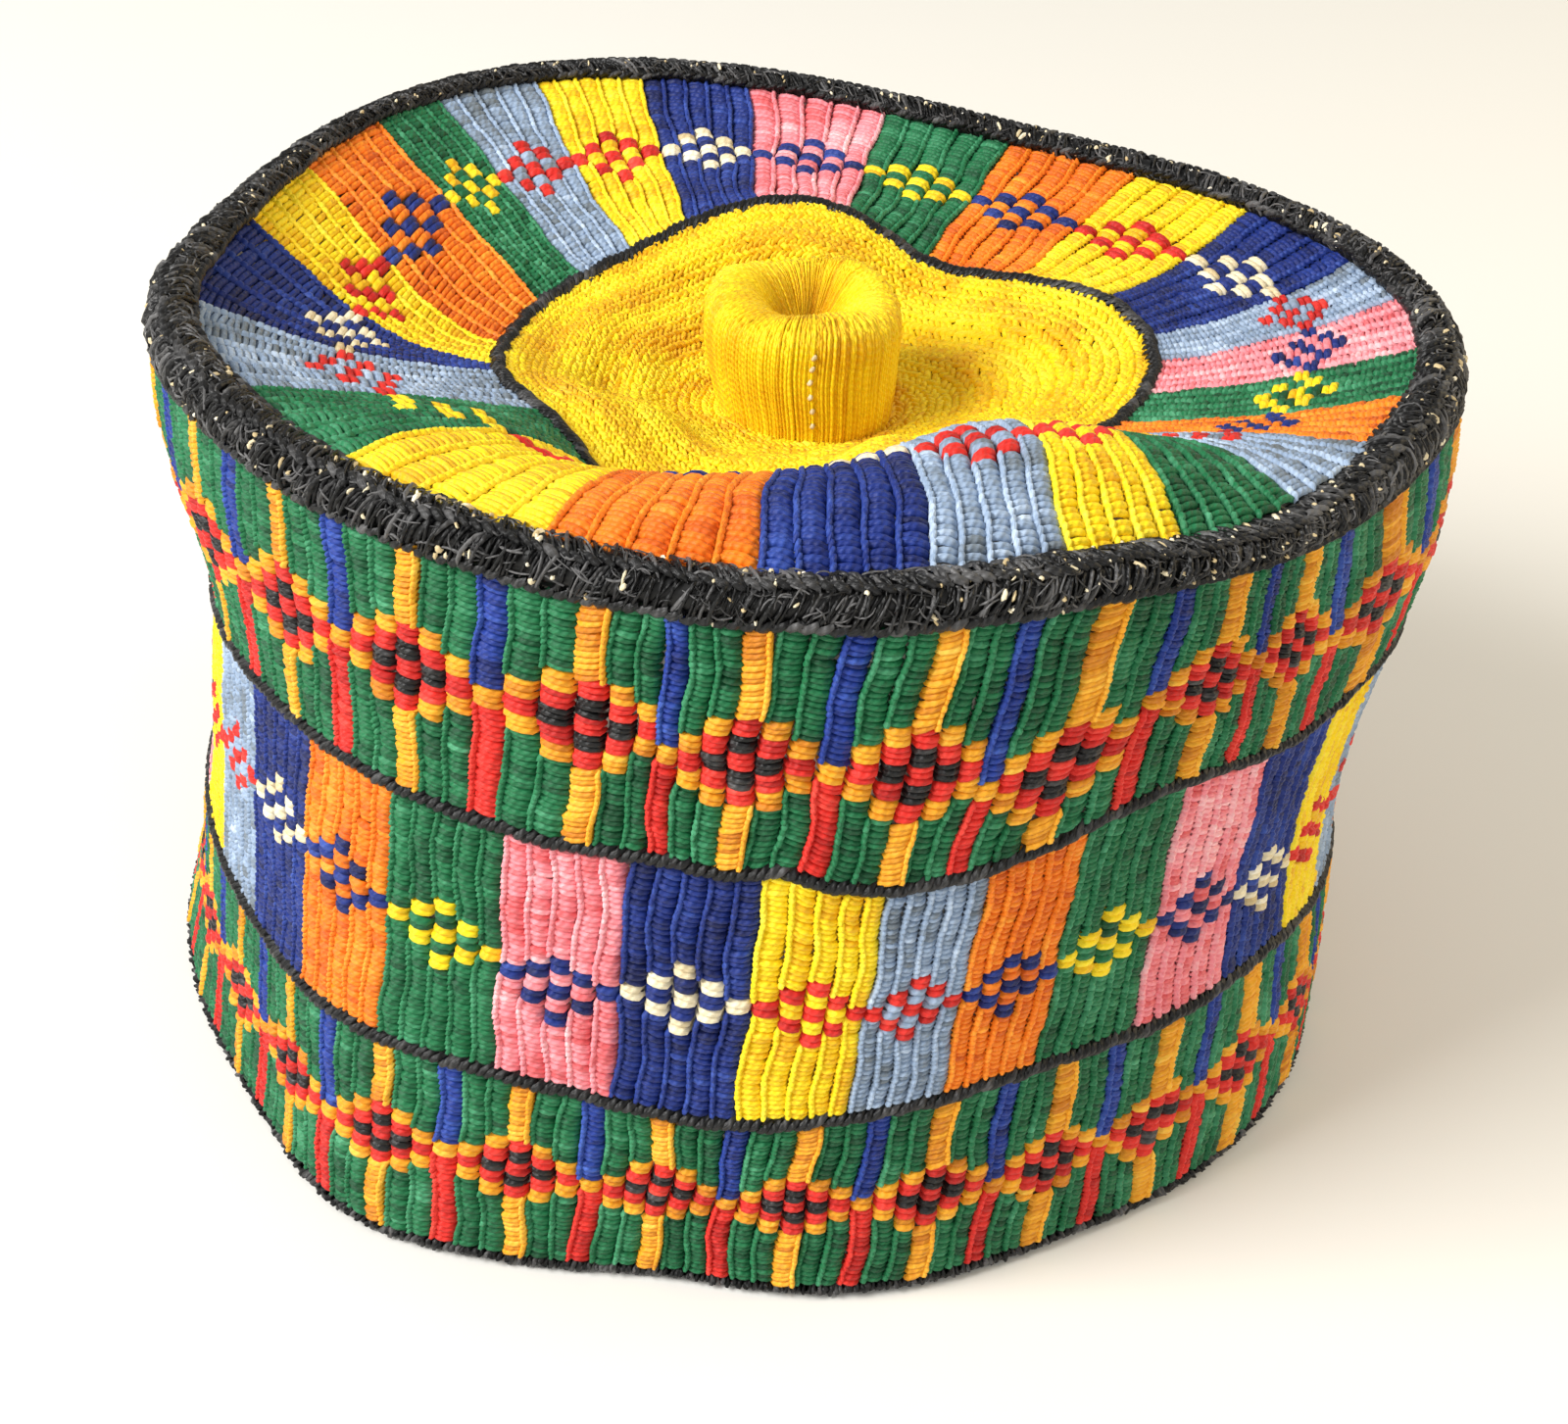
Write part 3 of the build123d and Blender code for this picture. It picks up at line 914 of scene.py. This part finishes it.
def lay_wall_plies():
    """Ground cloth, interlining and lining of the wall."""
    # The ground cotton is off-white; its colour is set darker than that, as painted shade in the gaps between
    # the stitches where it shows.
    ground = cloth_material("off_white_ground_cotton", (0.62, 0.58, 0.50), weave=230.0)
    batting = cloth_material("interlining_canvas", (0.50, 0.46, 0.38), weave=160.0)
    cotton = cloth_material("lining_cotton", (0.66, 0.62, 0.53), weave=260.0)
    below = CLOTH_THICKNESS + PLY_GAP
    deeper = below + INTERLINING_THICKNESS + PLY_GAP
    rows = [
        ("wall_ground_cloth", settle_wall, 0.0, CLOTH_THICKNESS, ground, "ground_cloth"),
        ("wall_interlining", settle_wall, -below, INTERLINING_THICKNESS, batting, "interlining"),
        ("wall_lining", settle_lining, -deeper, LINING_THICKNESS, cotton, "lining_cloth"),
    ]
    for node, settle, outer, thickness, material, slot in rows:
        piece = cloth_piece(f"{node}_ply", settle, WALL_PLY, rows=40, columns=200, outer=outer,
                            thickness=thickness, material=material, nodes=[node])
    return ground, cotton


def crown_surface(t, v):
    """The whole crown: v runs inwards from the rim to its middle."""
    on_disc = v > RING_LENGTH
    ring = ring_surface(t, np.minimum(v, RING_LENGTH))
    disc = disc_surface(t, np.maximum(v - RING_LENGTH, 0.0))
    return np.where(on_disc[..., None], disc, ring)


def settle_crown_ply(t, v, h):
    """Point of the crown that stands straight up h off its cloth."""
    return crown_surface(t, v) + np.stack([0 * h, 0 * h, h - STITCH], -1)


def lay_crown_plies(ground, cotton):
    """Ground cloth and lining of the crown, under its stitches."""
    span = (-1.0, RING_LENGTH + DISC_LENGTH)
    below = CLOTH_THICKNESS + PLY_GAP
    rows = [
        ("crown_ground_cloth", -PLY_GAP, CLOTH_THICKNESS, ground, "ground_cloth"),
        ("crown_lining", -PLY_GAP - below, LINING_THICKNESS, cotton, "lining_cloth"),
    ]
    for node, outer, thickness, material, slot in rows:
        piece = cloth_piece(f"{node}_ply", settle_crown_ply, span, rows=60, columns=160, outer=outer,
                            thickness=thickness, material=material, nodes=[node])


# ---- black cords and binding

def twisted_cord(name, line, nodes, settle, depth, scale, width, height, pitch, count):
    """A two-ply cord along a line: slanted links that cross it."""
    t = spaced_round(count) + rng.normal(0, 0.04, count)
    mm = scale(t)
    reach = np.array([-1.15, -0.72, -0.25, 0.25, 0.72, 1.15]) * pitch
    cross = np.array([-1.0, -0.8, -0.3, 0.3, 0.8, 1.0]) * width * 0.62
    lift = np.array([-0.5, 0.25, 0.85, 0.85, 0.25, -0.5]) * height
    path_t = t[:, None] + reach / mm[:, None]
    path_v = line(path_t) + cross + rng.normal(0, 0.06, (count, 1))
    path_h = STITCH + lift - 0.75 + rng.normal(0, 0.05, (count, 1))
    half = pitch * rng.uniform(0.42, 0.52, count)
    group = threads(path_t, path_v, path_h, half, 0.55, mm, rng.normal(0.22, 0.2, count))
    mesh = thread_mesh(name, group, settle, depth)
    return finish_piece(name, mesh, YARNS["black"], nodes)


DIVIDER_LIFT = 0.25


def lay_cords():
    """The two divider cords on the wall and the crown's divider."""
    for name, height in (("lower", LOWER_DIVIDER), ("upper", UPPER_DIVIDER)):
        def line(t, height=height):
            return height + 0.18 * np.sin(t * 0.9) + 0.12 * np.sin(t * 2.3 + 1)
        twisted_cord(f"{name}_divider_threads", line, [f"{name}_divider_cord"], settle_wall, RIM_MIDDLE,
                     wall_scale, width=1.5, height=0.85, pitch=1.2, count=470)

    def crown_line(t):
        return RING_LENGTH + 0.2 * np.sin(t * 0.7)

    def crown_scale(t):
        return divider_radius(t) * math.pi / 180.0

    def settle_both(t, v, h):
        """The divider lies over the seam between ring and disc."""
        return settle_crown_ply(t, v, h + DIVIDER_LIFT)

    twisted_cord("crown_divider_threads", crown_line, ["crown_divider_cord"], settle_both,
                 RING_LENGTH + DISC_LENGTH, crown_scale, width=1.5, height=0.9, pitch=1.2, count=270)


# Section of the bottom edging: how far out of the stitches and how high, from inside to outside
EDGING_SECTION = [
    (-4.7, 2.6), (-4.4, 1.4), (-3.0, 0.85), (-0.9, 0.8), (0.9, 0.8), (1.6, 1.0), (1.8, 1.5), (1.5, 2.1),
    (0.8, 2.6),
]
EDGING_CURVE = 9.4

# How far the binding is pressed flat, and how far it reaches inwards, as shares of its section
rim_squash = varying(1.0, (-0.28, 48, 20), (-0.10, 0, 30), (-0.22, -135, 45), (-0.10, 150, 35))
rim_reach = varying(1.0, (-0.42, -128, 42), (-0.22, 140, 40))
no_squash = varying(1.0)


def section_at(section, curve_length, v):
    """Place at v along a section (out and up), and the direction that stands off it there."""
    outline = np.array(section, float)
    lengths = np.concatenate([[0], np.cumsum(np.hypot(*np.diff(outline, axis=0).T))])
    lengths = lengths * curve_length / lengths[-1]
    out, up = (np.interp(v, lengths, side) for side in outline.T)
    slope_out, slope_up = (np.interp(v, lengths, np.gradient(side, lengths)) for side in outline.T)
    size = np.maximum(np.hypot(slope_out, slope_up), 1e-6)
    return out, up, slope_up / size, -slope_out / size


def section_settle(section, curve_length, squash, reach):
    """Settling for stitches wound over an edge: v runs along the section, h off its surface."""
    foot = section[0][1]

    def settle(t, v, h):
        out, up, off_out, off_up = section_at(section, curve_length, v)
        out = out + h * off_out
        up = up + h * off_up
        up = foot + (up - foot) * squash(t)
        out = np.where(out < 0.0, out * reach(t), out)
        return settle_wall(t, up, out)

    return settle


OVERCAST_SECTIONS = 8


def overcast(name, settle, length, start, end, count, width, slant, wild):
    """Black stitches wound over part of an edge, one next to another and slanted."""
    t = spaced_round(count) + rng.normal(0, wild * 0.5, count)
    share = np.linspace(0.0, 1.0, OVERCAST_SECTIONS)
    mm = wall_scale(t)
    tilt = slant * (1.0 + rng.normal(0, 0.35, count))
    bow = rng.normal(0, wild, (count, 1)) * np.sin(math.pi * share)
    path_t = t[:, None] + tilt[:, None] * (share - 0.5) / mm[:, None] + bow
    path_v = start + (end - start) * share + rng.normal(0, 0.25, (count, 1))
    foot = np.where((share > 0.02) & (share < 0.98), 0.0, -0.9)
    path_h = foot + wild * (rng.normal(0, 0.8, (count, 1)) + rng.normal(0, 0.4, path_t.shape))
    half = width * rng.uniform(0.7, 1.35, count)
    # painted highlight: the wide spread of tone gives some threads the black yarn's pale grey, as streaks of
    # sheen
    group = threads(path_t, np.clip(path_v, 0, length), path_h, half, 0.55, mm, rng.normal(0.25, 0.50, count))
    return thread_mesh(name, group, settle, length)


# Section of the rim's binding, from under its outside to its inside
RIM_SECTION = [
    (0.2, 112.9), (1.4, 112.9), (1.9, 114.3), (1.9, 116.0), (1.1, 117.5), (-0.4, 118.4), (-1.9, 118.6),
    (-3.2, 118.0), (-4.1, 116.9), (-4.4, 115.6),
]
RIM_CURVE = 13.0


def side_strand(name, settle, place, count, width, lift):
    """A thin plait along one side of the binding."""
    t = spaced_round(count)
    mm = wall_scale(t)
    reach = np.array([-1.2, -0.4, 0.4, 1.2])
    cross = np.array([-0.5, -0.2, 0.2, 0.5]) * width
    path_t = t[:, None] + reach / mm[:, None]
    path_v = place + cross + rng.normal(0, 0.12, (count, 1)) + 0.3 * np.sin(t * 0.5)[:, None]
    path_h = np.array([0.1, 0.75, 0.75, 0.1]) * lift + rng.normal(0, 0.08, (count, 1))
    half = 0.5 * rng.uniform(0.8, 1.2, count)
    group = threads(path_t, path_v, path_h, half, 0.6, mm, rng.normal(0.3, 0.25, count))
    return thread_mesh(name, group, settle, RIM_CURVE)


def loose_fibres(name, settle, count):
    """Fine bowed fibres that lie every way over the binding and give it a tangled look; their high tone
    paints them in the black yarn's pale grey, a painted highlight.
    """
    t = rng.uniform(-180, 180, count)
    v = rng.uniform(1.2, RIM_CURVE - 1.2, count)
    mm = wall_scale(t)
    angle = rng.uniform(0.5, 1.9, count) * rng.choice([-1.0, 1.0], count)
    long = rng.uniform(0.8, 1.9, count)
    steps = np.linspace(-1.0, 1.0, 6)
    bow = rng.normal(0, 0.5, (count, 1)) * (1 - steps ** 2)
    along, across = np.sin(angle)[:, None], np.cos(angle)[:, None]
    path_t = t[:, None] + (along * long[:, None] * steps + across * bow) / mm[:, None]
    path_v = v[:, None] + across * long[:, None] * steps - along * bow
    path_h = 0.25 + 0.35 * (1 - steps ** 2) + rng.normal(0, 0.12, (count, 1))
    half = rng.uniform(0.07, 0.15, count)
    # painted highlight: a high tone gives most fibres the black yarn's pale grey
    group = threads(path_t, path_v, path_h, half, 0.2, mm, rng.normal(0.75, 0.5, count))
    return thread_mesh(name, group, settle, RIM_CURVE)


def fleck_specks(name, settle, count):
    """Pale slubs of the binding's yarn, small and few."""
    t = rng.uniform(-180, 180, count)
    v = rng.uniform(1.0, RIM_CURVE - 1.0, count)
    mm = wall_scale(t)
    angle = rng.uniform(-1.0, 1.0, count)
    long = 0.22 + 0.75 * rng.uniform(0, 1, count) ** 2.5
    steps = np.array([-1.0, -0.4, 0.4, 1.0])
    path_t = t[:, None] + np.sin(angle)[:, None] * long[:, None] * steps / mm[:, None]
    path_v = v[:, None] + np.cos(angle)[:, None] * long[:, None] * steps
    path_h = np.array([0.1, 0.42, 0.42, 0.1]) + rng.normal(0, 0.12, (count, 1))
    half = rng.uniform(0.13, 0.40, count)
    group = threads(path_t, path_v, path_h, half, 0.40, mm, rng.normal(0.0, 0.4, count))
    return thread_mesh(name, group, settle, RIM_CURVE)


def rim_core():
    """Smooth dark body under the binding's stitches, closed all round."""
    outline = np.array(RIM_SECTION, float)
    centre = outline.mean(0)
    inner = centre + (outline - centre) * 0.93
    places, faces = modelled_grid(200, len(inner))
    share_t = places[:, 0] * 180.0
    row = np.round((places[:, 1] + 1.0) / 2.0 * len(inner)).astype(int) % len(inner)
    foot = inner[:, 1].min()
    out = np.where(inner[row, 0] < 0.0, inner[row, 0] * rim_reach(share_t), inner[row, 0])
    points = settle_wall(share_t, foot + (inner[row, 1] - foot) * rim_squash(share_t), out)
    panel = (places + 1) / 2
    tone = np.full(len(points), -0.3)
    mesh = make_mesh("rim_core", points, faces, {"thread": panel, "OFBake": panel}, {"tone": tone})
    return welded(mesh)


def lay_edges():
    """The rim's binding with its flecks, and the bottom edging."""
    settle_rim = section_settle(RIM_SECTION, RIM_CURVE, rim_squash, rim_reach)
    meshes = [
        rim_core(),
        overcast("rim_outer_row", settle_rim, RIM_CURVE, start=0.0, end=7.2, count=1150, width=0.22,
                 slant=2.6, wild=0.30),
        overcast("rim_inner_row", settle_rim, RIM_CURVE, start=6.2, end=12.9, count=1050, width=0.23,
                 slant=-3.6, wild=0.32),
        side_strand("rim_outer_strand", settle_rim, place=1.6, count=330, width=0.9, lift=0.8),
        side_strand("rim_upper_strand", settle_rim, place=7.0, count=330, width=-0.9, lift=0.7),
        side_strand("rim_inner_strand", settle_rim, place=11.8, count=310, width=0.9, lift=0.9),
        loose_fibres("rim_fibres", settle_rim, count=1900),
    ]
    binding = join_meshes("rim_binding_threads", meshes, "black", ["rim_binding", "rim_seam_allowance"])
    flecks = fleck_specks("rim_binding_flecks", settle_rim, count=520)
    finish_piece("rim_binding_flecks", flecks, YARNS["cream"])
    settle_edging = section_settle(EDGING_SECTION, EDGING_CURVE, no_squash, no_squash)
    edging = overcast("bottom_edging_threads", settle_edging, EDGING_CURVE, start=0.0, end=EDGING_CURVE,
                      count=760, width=0.42, slant=1.3, wild=0.06)
    finish_piece("bottom_edging_threads", edging, YARNS["black"], ["bottom_edging"])


# ---- disc and knob

def lay_disc():
    """Herringbone stitches of the yellow disc, in rings that follow the divider."""
    groups = []
    rows = 39
    pitch = (DISC_LENGTH * 0.83) / rows
    for row in range(rows):
        v = 0.9 + pitch * row
        radius = divider_radius(0) * (1 - v / DISC_LENGTH)
        count = int(2 * math.pi * radius / 1.05)
        t = 360.0 / count * (np.arange(count) + 0.5 * (row % 2)) + rng.normal(0, 0.12, count)
        mm = divider_radius(t) * (1 - v / DISC_LENGTH) * math.pi / 180.0
        lean = 1.0 if row % 2 else -1.0
        steps = np.array([-1.0, -0.38, 0.38, 1.0])
        path_t = t[:, None] + lean * 1.15 * steps / mm[:, None]
        path_v = v + 0.52 * pitch * steps * 1.5 + rng.normal(0, 0.10, (count, 1))
        path_h = np.array([-0.1, 1.25, 1.25, -0.1]) + rng.normal(0, 0.10, (count, 1))
        # painted shade and highlight: the ring term paints paler and darker rings in the tone that stand for
        # light on the disc's ripples and shade between them
        tone = rng.normal(0.10, 0.13, count) + 0.22 * np.sin(v / 1.9 + 1.3 * np.sin(np.radians(3 * t)))
        half = rng.uniform(0.36, 0.48, count)
        groups.append(threads(path_t, path_v, path_h, half, 0.72, mm, tone))
    mesh = thread_mesh("crown_disc_threads", join_threads(groups), settle_disc, DISC_LENGTH)
    finish_piece("crown_disc_threads", mesh, YARNS["yellow"], ["crown_centre_disc"])


# Knob section: radius and height from its foot over the lip and down into the hollow
KNOB_SECTION = [
    (12.7, 95.0), (13.0, 97.5), (13.8, 102.0), (14.3, 107.5), (14.4, 111.6), (13.9, 114.0), (12.6, 115.2),
    (10.4, 115.2), (8.2, 113.9), (6.2, 111.4), (4.2, 108.4), (2.2, 106.8), (0.0, 106.3),
]
KNOB_CENTRE = (1.9, 1.5)
KNOB_CURVE = 36.0
KNOB_LIP = [(1, 0.8, 150), (3, 0.9, 20)]
KNOB_TURNS = [(230, 0.34), (150, 0.30)]


def settle_knob(t, v, h):
    """The wound knob: folds deepen towards its hollow, and its lip is uneven."""
    radius, height, off_out, off_up = section_at(KNOB_SECTION, KNOB_CURVE, v)
    inward = smooth((v - 20.0) / 12.0)
    folds = np.sin(np.radians(11 * t + 30 * np.sin(np.radians(2 * t)))) * inward
    radius = radius * (1.0 + 0.05 * np.cos(np.radians(2 * (t - 70))) + 0.10 * folds)
    height = height + hill(v, 20.5, 6.0) * waves(t, KNOB_LIP) + 0.5 * folds
    points = around(t, np.maximum(radius + h * off_out, 0.0), height + h * off_up)
    back = 3.0 * smooth((v - 17.0) / 13.0)
    foot = 1.3 * (1.0 - smooth(v / 13.0))
    return points + np.stack([KNOB_CENTRE[0] + 0.2 * back + foot, KNOB_CENTRE[1] + back, 0.0 * back], -1)


def lay_knob():
    """Body of the knob, the yarn wound over it and the knots down its front."""
    places, faces = modelled_grid(96, 40)
    v = (places[:, 1] + 1.0) / 2.0 * KNOB_CURVE
    under = np.where(v > KNOB_CURVE - 0.01, 0.0, -0.15)
    points = settle_knob(places[:, 0] * 180.0, v, under)
    panel = (places + 1) / 2
    maps = {"thread": panel, "OFBake": panel}
    body = welded(make_mesh("knob_body", points, faces, maps, {"tone": np.zeros(len(v))}))
    mm = KNOB_RADIUS * math.pi / 180.0
    groups = []
    for layer, (count, width) in enumerate(KNOB_TURNS):
        t = 360.0 / count * (np.arange(count) + 0.3 * layer) + rng.normal(0, 0.35, count)
        share = np.linspace(0.0, 1.0, 14)
        drift = np.cumsum(rng.normal(0, 0.22, (count, 14)), axis=1)
        path_t = t[:, None] + drift
        ends = KNOB_CURVE * rng.uniform(0.86, 0.99, count)
        path_v = share * ends[:, None]
        path_h = np.full((count, 14), -0.1 + 0.18 * layer) + rng.normal(0, 0.08, (count, 1))
        narrow = np.interp(path_v, [0, 20, KNOB_CURVE], [1.0, 0.95, 0.35])
        group = threads(path_t, path_v, path_h, width, 0.4, mm, rng.normal(0.12, 0.14, count))
        group["half"] = group["half"] * narrow
        groups.append(group)
    wound = thread_mesh("knob_wound", join_threads(groups), settle_knob, KNOB_CURVE)
    knob = join_meshes("knob_wrap_threads", [body, wound], "yellow", ["knob_wrap", "knob_core"])
    knots = 6
    t = np.full(knots, 8.0) + rng.normal(0, 0.7, knots)
    v = np.linspace(4.5, 16.0, knots) + rng.normal(0, 0.25, knots)
    steps = np.array([-1.0, -0.4, 0.4, 1.0])
    group = threads(t[:, None] + 1.1 * steps, v[:, None] + 0.42 * steps, [0.2, 0.62, 0.62, 0.2],
                    half=0.38, thick=0.40, scale=mm, tone=-0.2)
    mesh = thread_mesh("knob_knot_threads", group, settle_knob, KNOB_CURVE)
    finish_piece("knob_knot_threads", mesh, YARNS["cream"], ["knob_front_knots"])


# ---- build the cap

ground_cotton, lining_cotton = lay_wall_plies()
lay_crown_plies(ground_cotton, lining_cotton)
lower = diamond_band(LOWER_BAND, repeats=30, first=-4.7, cell=2.1, drift=lower_drift, lean=lower_lean,
                     motif_height=lower_motif_height)
lay_diamond_band("lower", lower)
upper = diamond_band(UPPER_BAND, repeats=26, first=-0.6, cell=2.7, drift=upper_drift, lean=upper_lean,
                     motif_height=upper_motif_height)
lay_diamond_band("upper", upper)
lay_blocks(middle_band(), "middle", settle_wall, RIM_MIDDLE, lattice_nodes=True)
lay_blocks(crown_ring(), "crown", settle_ring, RING_LENGTH, lattice_nodes=False)
lay_cords()
lay_edges()
lay_disc()
lay_knob()


# ---- floor, light and camera

def floor_material():
    """Plain pale paint."""
    material, _, shader = plain_material("pale_floor")
    set_inputs(shader, Base_Color=(0.83, 0.82, 0.78, 1.0), Roughness=0.6)
    return material


def lay_floor():
    """Pale table top under the cap."""
    bpy.ops.mesh.primitive_plane_add(size=12.0, location=(0, 0, 0))
    floor = bpy.context.object
    floor.name = "floor"
    floor.data.materials.append(floor_material())


LIGHT_TARGET = (0, 0, 0.06)


def area_light(name, location, size, power, colour):
    """Square light that faces the cap."""
    data = bpy.data.lights.new(name, "AREA")
    data.size = size
    data.energy = power
    data.color = colour
    light = add_object(name, data)
    light.location = location
    away = np.array(location) - np.array(LIGHT_TARGET)
    level = math.hypot(away[0], away[1])
    light.rotation_euler = (math.atan2(level, away[2]), 0.0, math.atan2(away[0], -away[1]))


def light_room():
    """A large window at the left, a warm lamp at the right and a little fill from the front."""
    area_light("window_light", (-1.05, -0.55, 0.95), size=0.75, power=31.0, colour=(1.0, 0.99, 0.97))
    area_light("warm_lamp", (1.2, 0.3, 0.7), size=0.8, power=8.0, colour=(1.0, 0.80, 0.48))
    area_light("front_fill", (0.2, -1.5, 0.6), size=1.2, power=5.0, colour=(1.0, 0.98, 0.95))
    world = bpy.data.worlds.new("studio")
    bpy.context.scene.world = world
    world.use_nodes = True
    set_inputs(world.node_tree.nodes["Background"], Color=(1.0, 0.99, 0.96, 1.0), Strength=0.52)
    bpy.context.scene.view_settings.view_transform = "Standard"


CAMERA_PLACE = (0.0, -0.37287, 0.27875)
CAMERA_ELEVATION = 29.82
CAMERA_ROLL = 5.148
CAMERA_LENS = 60.75
CAMERA_SHIFT = (0.0107, -0.0848)


def place_camera():
    """Camera at the height and tilt of a person looking down at the cap on a table."""
    data = bpy.data.cameras.new("camera")
    data.lens = CAMERA_LENS
    data.sensor_width = 36.0
    data.shift_x, data.shift_y = CAMERA_SHIFT
    data.clip_start = 0.01
    camera = add_object("camera", data)
    camera.location = CAMERA_PLACE
    elevation, roll = math.radians(CAMERA_ELEVATION), math.radians(CAMERA_ROLL)
    back = np.array([0.0, -math.cos(elevation), math.sin(elevation)])
    right = np.array([1.0, 0.0, 0.0])
    up = np.cross(back, right)
    rolled_right = right * math.cos(roll) + up * math.sin(roll)
    rolled_up = up * math.cos(roll) - right * math.sin(roll)
    camera.rotation_euler = Matrix((rolled_right, rolled_up, back)).transposed().to_euler()
    bpy.context.scene.camera = camera


lay_floor()
light_room()
place_camera()
